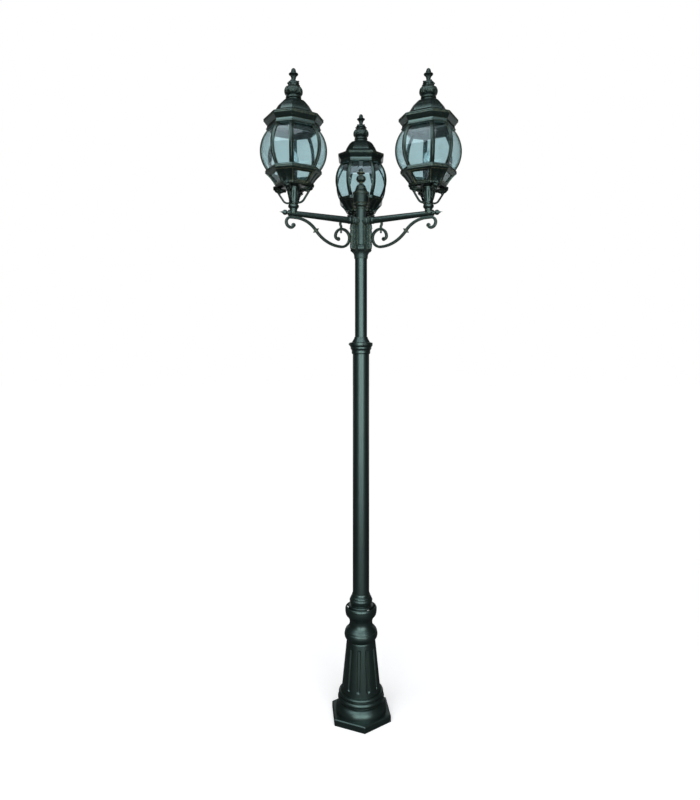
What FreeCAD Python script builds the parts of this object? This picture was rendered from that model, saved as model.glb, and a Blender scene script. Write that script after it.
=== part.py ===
"""Triple head lamp post: a two-part mast on a hexagonal cast base, three arms and three glazed lanterns.

Millimetres, +Z up. The origin is the centre of the base's underside. One arm points along +Y, away from the
front; the other two point to the front left and front right, 120 degrees apart.
"""
import FreeCAD
import Part
import os
from math import cos, radians, sin

Vec = FreeCAD.Vector
Z_AXIS = Vec(0, 0, 1)

# Base: a hexagonal foot with turned mouldings, a fluted column and a turned vase that grips the mast.
FOOT_CORNER_R = 116.5
FOOT_TURN = 6.7            # the foot's front corner stands this many degrees to the right of the front
FOOT_THICK = 23.0
FOOT_CHAMFER = 3.0
FOOT_TOP_Z = 92.0
COLUMN_TOP_Z = 272.0
COLUMN_R_LOW, COLUMN_R_HIGH = 70.5, 52.0
FLUTES = 12
FLUTE_R = 9.0
FLUTE_DEPTH = 3.2
FLUTE_Z = (118.0, 250.0)   # centres of a flute's rounded ends
VASE_TOP_Z = 400.0
COLLAR_TOP_Z = 442.0

# Anchor plate inside the foot, bolted to the ground, with a spigot in the mast.
ANCHOR_R = 78.0
ANCHOR_THICK = 8.0
ANCHOR_PCD = 120.0
ANCHOR_HOLES = 3
ANCHOR_HOLE_R = 5.5
CABLE_HOLE_R = 12.0
SPIGOT_TOP_Z = 70.0

# Mast: the upper tube stands inside the lower one, on a stop bolt, guided by a bush and locked by a collar.
LOWER_MAST_R, UPPER_MAST_R = 30.0, 22.0
TUBE_WALL = 2.0
LOWER_MAST_TOP_Z = 1330.0
UPPER_MAST_BOTTOM_Z = 1150.0
UPPER_MAST_TOP_Z = 1680.0
BUSH_LENGTH = 80.0
BUSH_GAP = 0.08
STOP_BOLT_R = 4.0

# Set screws: three round the vase, three round the mast collar.
BASE_SCREW_Z, BASE_SCREW_TURN, BASE_SCREW_FACE_R = 391.5, 305.0, 46.2
COLLAR_SCREW_Z, COLLAR_SCREW_TURN, COLLAR_SCREW_FACE_R = 1345.0, 283.0, 42.4
SCREW_R, SCREW_HEAD_R, SCREW_HEAD = 3.0, 4.6, 4.0
SCREW_STOP_R = UPPER_MAST_R + 0.4   # the slackened collar screws stand just clear of the upper mast

# Head: the hub on top of the mast, three arms with spear tips, and the cap between them.
ARM_AZIMUTH = {"rear": 90.0, "left": 210.0, "right": 330.0}
ARM_Z = 1790.0
ARM_ROOT_S, ARM_END_S = 40.0, 284.0
ARM_R_ROOT, ARM_R_END = 12.5, 9.0
ARM_TIP_S = 318.0
HUB_BOSS_R, HUB_SPIGOT_R = 15.5, 8.0
HUB_COLUMN_R = 16.5
HUB_FIN_S, HUB_FIN_THICK = 43.7, 14.0
HUB_FIN_Z = (1694.0, 1776.0)
FIN_LOBES, LOBE_DEPTH = 4, 3.2
CAP_RING_Z = (1843.0, 1892.0)
CAP_TIP_Z = 1985.0
CAP_LOBES = 8

# Scroll bracket under each arm, bent from one bar.
BAR_WIDTH, BAR_THICK = 8.4, 8.0
SWOOP_R, RETURN_R, SWOOP_TURN = 94.0, 125.6, 52.0   # the two long bends, each through the same angle
CURL_R = (34.0, 29.5)
BAR_TOP_S = 255.0
LINK_WIDTH, LINK_THICK = 7.4, 7.0

# Lantern: an octagon with four wide and four narrow sides, standing on a seat on the arm.
LANTERN_S = 266.0
LANTERN_TURN = {"rear": 0.0, "left": 0.0, "right": 3.5}    # how far each stands turned on its seat
SEAT_Z = 1801.0
SEAT_R, NIPPLE_R, NIPPLE_LENGTH = 12.5, 6.0, 14.0
WIDE_HALF = 27.2           # half the angle that a wide side spans
NARROW_HALF = 45.0 - WIDE_HALF
PLATE_Z = (1878.0, 1886.0)
BASKET_TOP_Z = 1920.0
LOW_RING_Z = (1920.0, 1938.0)
TOP_RING_Z = (2071.0, 2087.0)
TOP_RING_INNER_R = 82.0
BARREL_R = (92.0, 114.0, 89.0)          # corner radius of the barrel at its foot, belly and head
BARREL_Z = (1936.0, 1999.0, 2073.0)
RIB_WING, RIB_THICK = 7.2, 3.2
RIDGE_WIDTH, RIDGE_PROUD = 3.4, 0.9
GLASS_THICK = 3.0
PANE_GAP = 0.4
ROOF_TOP_Z = 2173.0
CROWN_TOP_Z = 2241.0
CROWN_LEAVES = 8
LANTERN_TIP_Z = 2286.0
STAY_THICK, LEAF_THICK = 6.6, 11.0       # the four stays under the basket, and the leaves at their ends
STUD_R, STUD_TOP_Z = 3.0, 2254.0
BRIDGE_Z = (2079.0, 2082.0)
BRIDGE_WIDTH = 14.0
HOLDER_R, HOLDER_TOP_Z = 13.0, 1950.0
BULB_CAP_R, BULB_CAP_GAP = 6.9, 0.1
BULB_R, BULB_TOP_Z = 17.5, 2012.0


def turned(outline):
    """Solid of revolution about Z. The outline runs upwards: (r, z) ends a straight run, and
    (r, z, r_mid, z_mid) ends an arc that passes through its middle point."""
    spots = [Vec(p[0], 0, p[1]) for p in outline]
    if spots[0].x > 0:
        spots.insert(0, Vec(0, 0, spots[0].z))
        outline = [(0, outline[0][1])] + list(outline)
    edges = []
    for start, end, step in zip(spots, spots[1:], outline[1:]):
        if len(step) == 4:
            edges.append(Part.Arc(start, Vec(step[2], 0, step[3]), end).toShape())
        else:
            edges.append(Part.LineSegment(start, end).toShape())
    if spots[-1].x > 0:
        edges.append(Part.LineSegment(spots[-1], Vec(0, 0, spots[-1].z)).toShape())
    edges.append(Part.LineSegment(Vec(0, 0, spots[-1].z), spots[0]).toShape())
    return Part.Face(Part.Wire(edges)).revolve(Vec(), Z_AXIS, 360)


def rod(radius, low, high):
    """Round bar along Z between two heights."""
    return Part.makeCylinder(radius, high - low, Vec(0, 0, low))


def tube(outer, inner, low, high):
    return rod(outer, low, high).cut(rod(inner, low, high))


def octagon_loft(steps):
    """Solid through octagons with corners at the given radii: steps are (corner radius, z)."""
    wires = []
    for radius, z in steps:
        turns = [radians(90 * k + side * WIDE_HALF) for k in range(4) for side in (-1, 1)]
        corners = [Vec(radius * cos(t), radius * sin(t), z) for t in turns]
        wires.append(Part.makePolygon(corners + corners[:1]))
    return Part.makeLoft(wires, True, True)


def octagon_shell(steps, wall):
    """Tapered octagonal tube, open at both ends, as thick as wall at its corners."""
    return octagon_loft(steps).cut(octagon_loft([(radius - wall, z) for radius, z in steps]))


def spun(shape, degrees):
    """Copy turned about the Z axis."""
    copy = shape.copy()
    copy.rotate(Vec(), Z_AXIS, degrees)
    return copy


def fused(shapes):
    """One solid from shapes that overlap or share faces."""
    return shapes[0].multiFuse(shapes[1:]).removeSplitter()


def standing_face(points):
    """Face in the XZ plane from corner points (x, z)."""
    spots = [Vec(x, 0, z) for x, z in points]
    return Part.Face(Part.makePolygon(spots + spots[:1]))


def bent_bar(start, heading, bends, width, thick):
    """Flat bar of arcs that run on from each other in the XZ plane, centred on it.

    heading is the first direction in degrees, and each bend is (radius, degrees): a turn to the left is
    positive, and a radius of 0 is a straight run of that many millimetres."""
    x, z = start
    left, right = [], []
    for radius, amount in bends:
        turn = radians(heading)
        if radius == 0:
            ahead = (x + amount * cos(turn), z + amount * sin(turn))
            for side, run in ((1, left), (-1, right)):
                dx, dz = -sin(turn) * side * width / 2, cos(turn) * side * width / 2
                run.append(Part.LineSegment(Vec(x + dx, 0, z + dz), Vec(ahead[0] + dx, 0, ahead[1] + dz)))
            x, z = ahead
            continue
        hand = 1 if amount > 0 else -1
        centre = (x - hand * radius * sin(turn), z + hand * radius * cos(turn))
        for side, run in ((1, left), (-1, right)):
            reach = radius - hand * side * width / 2
            spots = []
            for part in (0, 0.5, 1):
                at = turn + radians(amount) * part
                spots.append(Vec(centre[0] + hand * reach * sin(at), 0, centre[1] - hand * reach * cos(at)))
            run.append(Part.Arc(*spots))
        heading += amount
        turn = radians(heading)
        x, z = centre[0] + hand * radius * sin(turn), centre[1] - hand * radius * cos(turn)
    edges = [c.toShape() for c in left + right]
    for near, far in ((left[0].StartPoint, right[0].StartPoint), (left[-1].EndPoint, right[-1].EndPoint)):
        edges.append(Part.LineSegment(near, far).toShape())
    face = Part.Face(Part.Wire(Part.__sortEdges__(edges)))
    bar = face.extrude(Vec(0, thick, 0))
    bar.translate(Vec(0, -thick / 2, 0))
    return bar, (x, z)


def set_screws(z, turn, tip_r, face_r):
    """Three screws that point at the axis, with their heads standing on a wall of radius face_r."""
    screw = Part.makeCylinder(SCREW_R, face_r - tip_r, Vec(tip_r, 0, z), Vec(1, 0, 0))
    head = Part.makeCylinder(SCREW_HEAD_R, SCREW_HEAD, Vec(face_r, 0, z), Vec(1, 0, 0))
    return Part.makeCompound([spun(fused([screw, head]), turn + 120 * k) for k in range(3)])


# ---------------------------------------------------------------- base

def base_foot():
    """Hexagonal foot with a domed top and two turned rings, hollow inside."""
    corners = [radians(270 + FOOT_TURN + 60 * k) for k in range(7)]
    rim_z = FOOT_THICK - FOOT_CHAMFER
    wires = []
    for radius, z in ((FOOT_CORNER_R, 0), (FOOT_CORNER_R, rim_z), (FOOT_CORNER_R - FOOT_CHAMFER, FOOT_THICK)):
        wires.append(Part.makePolygon([Vec(radius * cos(t), radius * sin(t), z) for t in corners]))
    hexagon = Part.makeLoft(wires, True, True)
    mouldings = turned([(91, FOOT_THICK - 1), (91, FOOT_THICK), (73, 57, 87.5, 44), (73, 62),
                        (77, 80, 83.5, 72), (77, 81), (COLUMN_R_LOW, FOOT_TOP_Z, 80.5, 87)])
    hollow = turned([(84, 0), (84, 17), (66, 56), (62, FOOT_TOP_Z)])
    return fused([hexagon, mouldings]).cut(hollow)


def base_column():
    """Fluted tapering column with the vase on top that grips the mast."""
    outside = turned([(COLUMN_R_LOW, FOOT_TOP_Z), (COLUMN_R_HIGH, COLUMN_TOP_Z), (51, COLUMN_TOP_Z + 4),
                      (60, 297, 58, 285), (49.5, 317, 57.8, 308), (41.3, 340, 43, 328), (51, 361, 45, 352),
                      (57, 384, 56, 372), (53.5, 395, 56.6, 391), (51.5, 394), (50.5, 385.5), (46, 385),
                      (45.5, 397), (44, VASE_TOP_Z)])
    hollow = turned([(62, FOOT_TOP_Z), (44, COLUMN_TOP_Z), (44, 300), (LOWER_MAST_R, 316),
                     (LOWER_MAST_R, VASE_TOP_Z)])
    slope = (COLUMN_R_LOW - COLUMN_R_HIGH) / (COLUMN_TOP_Z - FOOT_TOP_Z)
    low, high = FLUTE_Z
    wall_r = [COLUMN_R_LOW - slope * (z - FOOT_TOP_Z) for z in (low, high)]
    foot, head = [Vec(r + FLUTE_R - FLUTE_DEPTH, 0, z) for r, z in zip(wall_r, (low, high))]
    run = head - foot
    cutter = Part.makeCylinder(FLUTE_R, run.Length, foot, run)
    cutter = fused([cutter, Part.makeSphere(FLUTE_R, foot), Part.makeSphere(FLUTE_R, head)])
    shape = outside.cut(hollow).cut([spun(cutter, 360 / FLUTES * (k + 0.75)) for k in range(FLUTES)])
    holes = [Part.makeCylinder(SCREW_R, 25, Vec(25, 0, BASE_SCREW_Z), Vec(1, 0, 0))]
    return shape.cut([spun(holes[0], BASE_SCREW_TURN + 120 * k) for k in range(3)])


def base_collar():
    """Turned ring that covers the seam where the mast enters the vase."""
    ring = turned([(38, VASE_TOP_Z), (41.3, 417, 41.3, 409), (33, 432, 38, 428), (33, 436),
                   (31.5, COLLAR_TOP_Z)])
    return ring.cut(rod(LOWER_MAST_R, VASE_TOP_Z, COLLAR_TOP_Z))


def anchor_plate():
    """Round plate on the ground inside the foot, with a spigot that centres the mast."""
    plate = rod(ANCHOR_R, 0, ANCHOR_THICK)
    spigot = rod(LOWER_MAST_R - TUBE_WALL, 0, SPIGOT_TOP_Z)
    bolt = Part.makeCylinder(ANCHOR_HOLE_R, ANCHOR_THICK, Vec(ANCHOR_PCD / 2, 0, 0))
    step = 360 / ANCHOR_HOLES
    cuts = [spun(bolt, 30 + step * k) for k in range(ANCHOR_HOLES)]
    cuts.append(rod(CABLE_HOLE_R, 0, SPIGOT_TOP_Z))
    return fused([plate, spigot]).cut(cuts)


# ---------------------------------------------------------------- mast

def mast_collar():
    """Stepped collar over the lower mast's end, bored for the upper mast."""
    low, high = LOWER_MAST_TOP_Z - 21, LOWER_MAST_TOP_Z + 41
    outside = turned([(32, low), (33.8, low + 3), (33.8, low + 12), (36, low + 17), (38, low + 19),
                      (38, low + 25), (40, low + 28), (42.3, low + 31), (42.3, low + 41), (33, low + 43),
                      (31.5, low + 46), (25.5, low + 56), (24, high)])
    socket = rod(LOWER_MAST_R, low, LOWER_MAST_TOP_Z)
    bore = rod(UPPER_MAST_R + 0.3, low, high)
    holes = [Part.makeCylinder(SCREW_R, 40, Vec(15, 0, COLLAR_SCREW_Z), Vec(1, 0, 0))]
    return outside.cut([socket, bore] + [spun(holes[0], COLLAR_SCREW_TURN + 120 * k) for k in range(3)])


def mast_bush():
    """Sleeve in the lower mast that guides the upper one."""
    inner = UPPER_MAST_R + BUSH_GAP
    return tube(LOWER_MAST_R - TUBE_WALL, inner, LOWER_MAST_TOP_Z - BUSH_LENGTH, LOWER_MAST_TOP_Z)


def stop_bolt():
    """Cross bolt inside the lower mast that the upper mast stands on."""
    reach = LOWER_MAST_R - TUBE_WALL - 0.5
    start = Vec(-reach, 0, UPPER_MAST_BOTTOM_Z - STOP_BOLT_R)
    return Part.makeCylinder(STOP_BOLT_R, 2 * reach, start, Vec(1, 0, 0))


# ---------------------------------------------------------------- head

def hub_fin():
    """Web under one arm, facing +X, with rounded lobes down its edge."""
    low, high = HUB_FIN_Z
    step, valley = (high - low) / FIN_LOBES, HUB_FIN_S - LOBE_DEPTH
    edges = []
    for k in range(FIN_LOBES):
        z = low + k * step
        spots = [Vec(valley, 0, z), Vec(HUB_FIN_S, 0, z + step / 2), Vec(valley, 0, z + step)]
        edges.append(Part.Arc(*spots).toShape())
    corners = [(valley, high), (0, high), (0, low), (valley, low)]
    edges.append(Part.makePolygon([Vec(x, 0, z) for x, z in corners]))
    fin = Part.Face(Part.Wire(edges)).extrude(Vec(0, HUB_FIN_THICK, 0))
    fin.translate(Vec(0, -HUB_FIN_THICK / 2, 0))
    return fin


def hub():
    """Casting on the mast's top: a flared socket, a slim column, and a fin and boss for each arm."""
    socket = turned([(24, 1655), (25.5, 1662), (37, 1682, 29, 1675), (40, 1686), (40, 1692), (35, 1697),
                     (30, HUB_FIN_Z[0] + 6), (HUB_COLUMN_R, HUB_FIN_Z[0] + 10)])
    column = rod(HUB_COLUMN_R, UPPER_MAST_TOP_Z, CAP_RING_Z[0])
    shapes = [socket, column]
    fin = hub_fin()
    for azimuth in ARM_AZIMUTH.values():
        boss = Part.makeCylinder(HUB_BOSS_R, ARM_ROOT_S, Vec(0, 0, ARM_Z), Vec(1, 0, 0))
        shapes += [spun(fin, azimuth), spun(boss, azimuth)]
    sockets = [rod(UPPER_MAST_R, 1655, UPPER_MAST_TOP_Z)]
    for azimuth in ARM_AZIMUTH.values():
        hole = Part.makeCylinder(HUB_SPIGOT_R, 20, Vec(ARM_ROOT_S - 20, 0, ARM_Z), Vec(1, 0, 0))
        sockets.append(spun(hole, azimuth))
    return fused(shapes).cut(sockets)


def arm():
    """Tapering arm along +X: a spigot for the hub, a spear tip, and the lantern's seat with its nipple."""
    profile = [(HUB_SPIGOT_R, ARM_ROOT_S - 20), (HUB_SPIGOT_R, ARM_ROOT_S), (ARM_R_ROOT, ARM_ROOT_S),
               (ARM_R_END, ARM_END_S), (6, ARM_END_S + 2), (5, ARM_END_S + 6), (8.3, ARM_END_S + 12),
               (7.4, ARM_END_S + 18), (3.5, ARM_END_S + 27), (0, ARM_TIP_S)]
    shaft = turned(profile)
    shaft.rotate(Vec(), Vec(0, 1, 0), 90)
    shaft.translate(Vec(0, 0, ARM_Z))
    at = Vec(LANTERN_S, 0, ARM_Z)
    seat = Part.makeCylinder(SEAT_R, SEAT_Z - ARM_Z, at)
    nipple = Part.makeCylinder(NIPPLE_R, SEAT_Z + NIPPLE_LENGTH - ARM_Z, at)
    return fused([shaft, seat, nipple])


def scroll_bracket():
    """S-shaped bracket under an arm, curled at both ends, with its knuckle and the link to the arm."""
    slope = (ARM_R_ROOT - ARM_R_END) / (ARM_END_S - ARM_ROOT_S)
    arm_r = ARM_R_ROOT - slope * (BAR_TOP_S - ARM_ROOT_S)
    start = (BAR_TOP_S, ARM_Z - arm_r - BAR_WIDTH / 2)
    bends = [(SWOOP_R, SWOOP_TURN), (RETURN_R, -SWOOP_TURN), (CURL_R[0], -90), (CURL_R[1], -90), (27, -90),
             (9.5, -100)]
    inward, inner_end = bent_bar(start, 180, bends, BAR_WIDTH, BAR_THICK)
    outward, outer_end = bent_bar(start, 0, [(0, 20), (17.5, -180), (9, -90)], BAR_WIDTH, BAR_THICK)
    bead_r, bead_long = BAR_WIDTH * 0.88, BAR_THICK + 1
    ends = []
    for x, z in (inner_end, outer_end):
        ends.append(Part.makeCylinder(bead_r, bead_long, Vec(x, -bead_long / 2, z), Vec(0, 1, 0)))
    turn = radians(SWOOP_TURN)
    knuckle_at = Vec(start[0] - SWOOP_R * sin(turn), 0, start[1] - SWOOP_R * (1 - cos(turn)))
    across = Vec(-sin(turn), 0, cos(turn))
    along = Vec(cos(turn), 0, sin(turn))
    wide, long = across * 8, along * 5
    spots = [knuckle_at + wide, knuckle_at + long, knuckle_at - wide, knuckle_at - long]
    knuckle = Part.Face(Part.makePolygon(spots + spots[:1])).extrude(Vec(0, BAR_THICK + 2, 0))
    knuckle.translate(Vec(0, -(BAR_THICK + 2) / 2, 0))
    curl_top_z = start[1] - (SWOOP_R + RETURN_R) * (1 - cos(turn)) + CURL_R[0] + CURL_R[1]
    link_s = 84.0
    link_top = (link_s, ARM_Z - ARM_R_ROOT + slope * (link_s - ARM_ROOT_S))
    link_bends = [(11, -62), (9, 88), (9, -40)]
    link = bent_bar((link_top[0], link_top[1] + 0.5), -62, link_bends, LINK_WIDTH, LINK_THICK)[0]
    drop = Part.makeCylinder(4.6, 7.0, Vec(link_s - 2, -3.5, curl_top_z - 8), Vec(0, 1, 0))
    shape = fused([inward, outward, knuckle, link, drop] + ends)
    root = Vec(ARM_ROOT_S, 0, ARM_Z)
    taper = Part.makeCone(ARM_R_ROOT, ARM_R_END, ARM_END_S - ARM_ROOT_S, root, Vec(1, 0, 0))
    return shape.cut(taper)


def cap_ring():
    """Stepped sleeve on the hub's column, under the cap."""
    low, high = CAP_RING_Z
    ring = turned([(24, low), (25.5, low + 3), (25.5, low + 9), (27, low + 12), (27, high - 3), (28, high)])
    return ring.cut(rod(HUB_COLUMN_R, low, high - 12))


def post_cap():
    """Bell-shaped cap with a lobed ball and a bud, standing on the sleeve."""
    low = CAP_RING_Z[1]
    cap = turned([(30, low), (30, low + 3.5), (20, low + 17, 23, low + 9), (18.5, low + 19),
                  (9, low + 34, 15.6, low + 27.5), (6.5, low + 39), (17.4, low + 54, 13.6, low + 43),
                  (7, low + 66, 14, low + 62.5), (14.5, low + 74), (14.5, low + 76), (7.5, low + 79),
                  (0, CAP_TIP_Z)])
    groove = rod(2.5, low + 42, low + 64)
    groove.translate(Vec(18.6, 0, 0))
    return cap.cut([spun(groove, 360 / CAP_LOBES * k) for k in range(CAP_LOBES)])


# ---------------------------------------------------------------- lantern, about its own axis

def barrel_arc(shrink, inset):
    """Upright arc of the barrel's outline in a plane through the axis, scaled to a side and moved inwards."""
    spots = [Vec((r - inset) * shrink, 0, z) for r, z in zip(BARREL_R, BARREL_Z)]
    return Part.Arc(*spots)


def side_band(half, inset, thick):
    """One curved side of the barrel, wider than it needs to be, facing +X."""
    shrink = cos(radians(half))
    outer, inner = barrel_arc(shrink, inset), barrel_arc(shrink, inset + thick / shrink)
    edges = [outer.toShape(), inner.toShape()]
    for name in ("StartPoint", "EndPoint"):
        edges.append(Part.LineSegment(getattr(outer, name), getattr(inner, name)).toShape())
    width = 130.0
    band = Part.Face(Part.Wire(Part.__sortEdges__(edges))).extrude(Vec(0, width, 0))
    band.translate(Vec(0, -width / 2, 0))
    return band


def side_wedge(half, gap, low, high):
    """Upright wedge from the axis over one side, drawn in by a gap from the planes through its corners."""
    reach, turn = 200.0, radians(half)
    apex = gap / sin(turn)
    spots = [Vec(apex, 0, low), Vec(apex + reach * cos(turn), -reach * sin(turn), low),
             Vec(apex + reach * cos(turn), reach * sin(turn), low)]
    return Part.Face(Part.makePolygon(spots + spots[:1])).extrude(Vec(0, 0, high - low))


def sides():
    """Facing direction and half angle of the eight sides."""
    return [(90 * k + turn, half) for k in range(4) for turn, half in ((0, WIDE_HALF), (45, NARROW_HALF))]


def rib():
    """Folded rib over one corner of the barrel, facing +X: a ridge between two wings."""
    outer, inner = barrel_arc(1, -RIDGE_PROUD), barrel_arc(1, RIB_THICK - 0.2)
    edges = [outer.toShape(), inner.toShape()]
    for name in ("StartPoint", "EndPoint"):
        edges.append(Part.LineSegment(getattr(outer, name), getattr(inner, name)).toShape())
    ridge = Part.Face(Part.Wire(Part.__sortEdges__(edges))).extrude(Vec(0, RIDGE_WIDTH, 0))
    ridge.translate(Vec(0, -RIDGE_WIDTH / 2, 0))
    low, high = BARREL_Z[0] + 0.5, BARREL_Z[2] - 0.5
    parts = [ridge]
    for half, facing, side in ((WIDE_HALF, -WIDE_HALF, 1), (NARROW_HALF, NARROW_HALF, -1)):
        wings = side_band(half, 0, RIB_THICK).common(side_wedge(half, RIDGE_WIDTH / 4, low, high))
        wings = wings.cut(side_wedge(half, RIB_WING, low, high))
        parts += [spun(wing, facing) for wing in wings.Solids if wing.CenterOfMass.y * side > 0]
    return fused(parts)


def cage():
    """Eight folded ribs between an octagonal ring at the foot and another at the head."""
    parts = []
    one = rib()
    other = one.mirror(Vec(), Vec(0, 1, 0))
    for k in range(4):
        parts += [spun(one, 90 * k + WIDE_HALF), spun(other, 90 * k - WIDE_HALF)]
    low, high = LOW_RING_Z
    low_ring = octagon_loft([(90, low), (97, low + 6), (97, low + 11), (93, high)])
    parts.append(low_ring.cut(octagon_loft([(84, low), (84, high)])))
    low, high = TOP_RING_Z
    top_ring = octagon_loft([(91, low), (93.5, low + 5), (89, high)])
    parts.append(top_ring.cut(octagon_loft([(TOP_RING_INNER_R, low), (TOP_RING_INNER_R, high)])))
    return fused(parts)


def panes():
    """Eight curved panes behind the ribs."""
    solids = []
    for facing, half in sides():
        band = side_band(half, RIB_THICK / cos(radians(half)), GLASS_THICK)
        solids.append(spun(band.common(side_wedge(half, PANE_GAP, LOW_RING_Z[1], TOP_RING_Z[0])), facing))
    return Part.makeCompound(solids)


def basket():
    """Tapering cup under the cage, with a window in each wide side and a closed floor."""
    steps = [(60, PLATE_Z[0]), (63, PLATE_Z[1]), (69, 1896), (79, 1909), (90, BASKET_TOP_Z)]
    hollow = [(58, PLATE_Z[1]), (65, 1896), (75, 1909), (84, BASKET_TOP_Z)]
    shape = octagon_loft(steps).cut(octagon_loft(hollow))
    window = standing_face([(-19, 1890), (19, 1890), (31, 1916.5), (-31, 1916.5)]).extrude(Vec(0, 60, 0))
    window.translate(Vec(0, 45, 0))
    return shape.cut([spun(window, 90 * k) for k in range(4)])


def lower_glass():
    """Thin glazed liner that closes the basket's windows."""
    return octagon_shell([(58, PLATE_Z[1]), (65, 1896), (75, 1909), (84, BASKET_TOP_Z)], 2.4)


def cup():
    """Turned cup that stands on the arm's seat and carries the basket."""
    shape = turned([(SEAT_R, SEAT_Z), (13.4, SEAT_Z + 4), (18.3, 1811), (18.3, 1817), (14.8, 1820),
                    (16.5, 1825), (17.5, 1840), (18.5, 1860), (22.5, PLATE_Z[0])])
    return shape.cut(rod(NIPPLE_R + 0.08, SEAT_Z, SEAT_Z + NIPPLE_LENGTH + 1))


def foot_scrolls():
    """Four curved stays with leaf tips between the cup and the basket's floor."""
    stay, end = bent_bar((15, 1825.5), 0, [(0, 4.5), (37, 84)], STAY_THICK, STAY_THICK)
    x, z = end
    floor = PLATE_Z[0]
    leaf = standing_face([(x - 7, z - 2), (x + 4, z - 5), (x + 8, z + 4), (73, floor - 5), (72, floor + 1),
                          (63, floor), (44, floor), (46, z + 8), (x - 4, z + 7)])
    leaf = leaf.extrude(Vec(0, LEAF_THICK, 0))
    leaf.translate(Vec(0, -LEAF_THICK / 2, 0))
    one = fused([stay, leaf])
    one = one.cut(cup()).cut(octagon_loft([(60, PLATE_Z[0]), (63, PLATE_Z[1])]))
    return Part.makeCompound([spun(one, 45 + 90 * k) for k in range(4)])


def bridge():
    """Flat bar across the cage's head with the long stud that the roof is held on."""
    reach = TOP_RING_INNER_R * cos(radians(WIDE_HALF))
    low, high = BRIDGE_Z
    bar = Part.makeBox(2 * reach, BRIDGE_WIDTH, high - low, Vec(-reach, -BRIDGE_WIDTH / 2, low))
    return fused([bar, rod(STUD_R, low, STUD_TOP_Z)])


def lampholder():
    """Slim holder on the basket's floor, bored for the lamp cap."""
    low = PLATE_Z[1]
    shape = turned([(17, low), (17, low + 5), (HOLDER_R, low + 8), (HOLDER_R, HOLDER_TOP_Z)])
    return shape.cut(rod(BULB_CAP_R + BULB_CAP_GAP, HOLDER_TOP_Z - 24, HOLDER_TOP_Z))


def bulb_cap():
    return rod(BULB_CAP_R, HOLDER_TOP_Z - 22, HOLDER_TOP_Z + 2)


def bulb():
    """Candle-shaped glass of the lamp."""
    low, high = HOLDER_TOP_Z + 2, BULB_TOP_Z
    return turned([(7.5, low), (BULB_R, low + 23, 14.6, low + 9), (7.5, high - 12, 14.8, high - 27), (1.5, high)])


def roof():
    """Octagonal roof, hollow: a lip, a sloping shelf and a dome, resting on the cage's upper ring."""
    low = TOP_RING_Z[1]
    outside = [(90, low), (101, 2102), (102.5, 2103), (102.5, 2109), (71, 2124), (64.5, 2138), (55, 2153),
               (44, 2163), (34, 2170), (27, ROOF_TOP_Z)]
    hollow = [(84, low), (84, 2092), (94, 2104), (67, 2120), (58, 2137), (49, 2149), (38, 2160), (26, 2167)]
    return octagon_loft(outside).cut(octagon_loft(hollow)).cut(rod(STUD_R + 0.4, low, ROOF_TOP_Z))


def crown():
    """Neck mouldings, a ball and a collar of leaves on top of the roof."""
    low, high = ROOF_TOP_Z, CROWN_TOP_Z
    shape = turned([(24, low), (24, low + 5), (27, low + 8), (27, low + 12), (22, low + 15),
                    (19, low + 51, 31.6, low + 31), (18, low + 54), (26, low + 57), (24.5, high - 4), (21, high)])
    notch = Part.makeCylinder(4.5, high - low - 53, Vec(27, 0, low + 53))
    notches = [spun(notch, 360 / CROWN_LEAVES * k) for k in range(CROWN_LEAVES)]
    return shape.cut([rod(STUD_R + 0.4, low, high)] + notches)


def finial():
    """Blind nut that screws onto the stud and holds the roof down."""
    low = CROWN_TOP_Z
    shape = turned([(8, low), (7, low + 5), (16.5, low + 23, 9.4, low + 15.5), (16.5, low + 25),
                    (8.6, low + 28.5), (1, LANTERN_TIP_Z, 8.8, low + 36)])
    return shape.cut(rod(STUD_R + 0.1, low, STUD_TOP_Z + 2))


LANTERN_PIECES = {"cup": cup, "foot_scrolls": foot_scrolls, "basket": basket, "lower_glass": lower_glass,
                  "cage": cage, "panes": panes, "bridge": bridge, "lampholder": lampholder,
                  "bulb_cap": bulb_cap, "bulb": bulb, "roof": roof, "crown": crown, "finial": finial}


def post_pieces():
    """Every piece of the post that isn't repeated for each arm."""
    wall_r = LOWER_MAST_R - TUBE_WALL
    upper_bore = UPPER_MAST_R - TUBE_WALL
    return {
        "base_foot": base_foot(), "base_column": base_column(), "base_collar": base_collar(),
        "base_screws": set_screws(BASE_SCREW_Z, BASE_SCREW_TURN, LOWER_MAST_R, BASE_SCREW_FACE_R),
        "anchor_plate": anchor_plate(),
        "lower_mast": tube(LOWER_MAST_R, wall_r, ANCHOR_THICK, LOWER_MAST_TOP_Z),
        "mast_collar": mast_collar(), "mast_bush": mast_bush(), "stop_bolt": stop_bolt(),
        "collar_screws": set_screws(COLLAR_SCREW_Z, COLLAR_SCREW_TURN, SCREW_STOP_R, COLLAR_SCREW_FACE_R),
        "upper_mast": tube(UPPER_MAST_R, upper_bore, UPPER_MAST_BOTTOM_Z, UPPER_MAST_TOP_Z),
        "hub": hub(), "cap_ring": cap_ring(), "post_cap": post_cap()}


def main():
    os.makedirs("parts", exist_ok=True)
    nodes = post_pieces()
    lantern = {name: make() for name, make in LANTERN_PIECES.items()}
    arm_shape, bracket_shape = arm(), scroll_bracket()
    for side, azimuth in ARM_AZIMUTH.items():
        nodes[side + "_arm"] = spun(arm_shape, azimuth)
        nodes[side + "_scroll"] = spun(bracket_shape, azimuth)
        for name, shape in lantern.items():
            placed = spun(shape, LANTERN_TURN[side])
            placed.translate(Vec(LANTERN_S, 0, 0))
            nodes[side + "_" + name] = spun(placed, azimuth)
    for name, shape in nodes.items():
        shape.exportStep("parts/" + name + ".step")
        print(name, "solids", len(shape.Solids), "valid", shape.isValid(), "volume", round(shape.Volume))


main()
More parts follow.
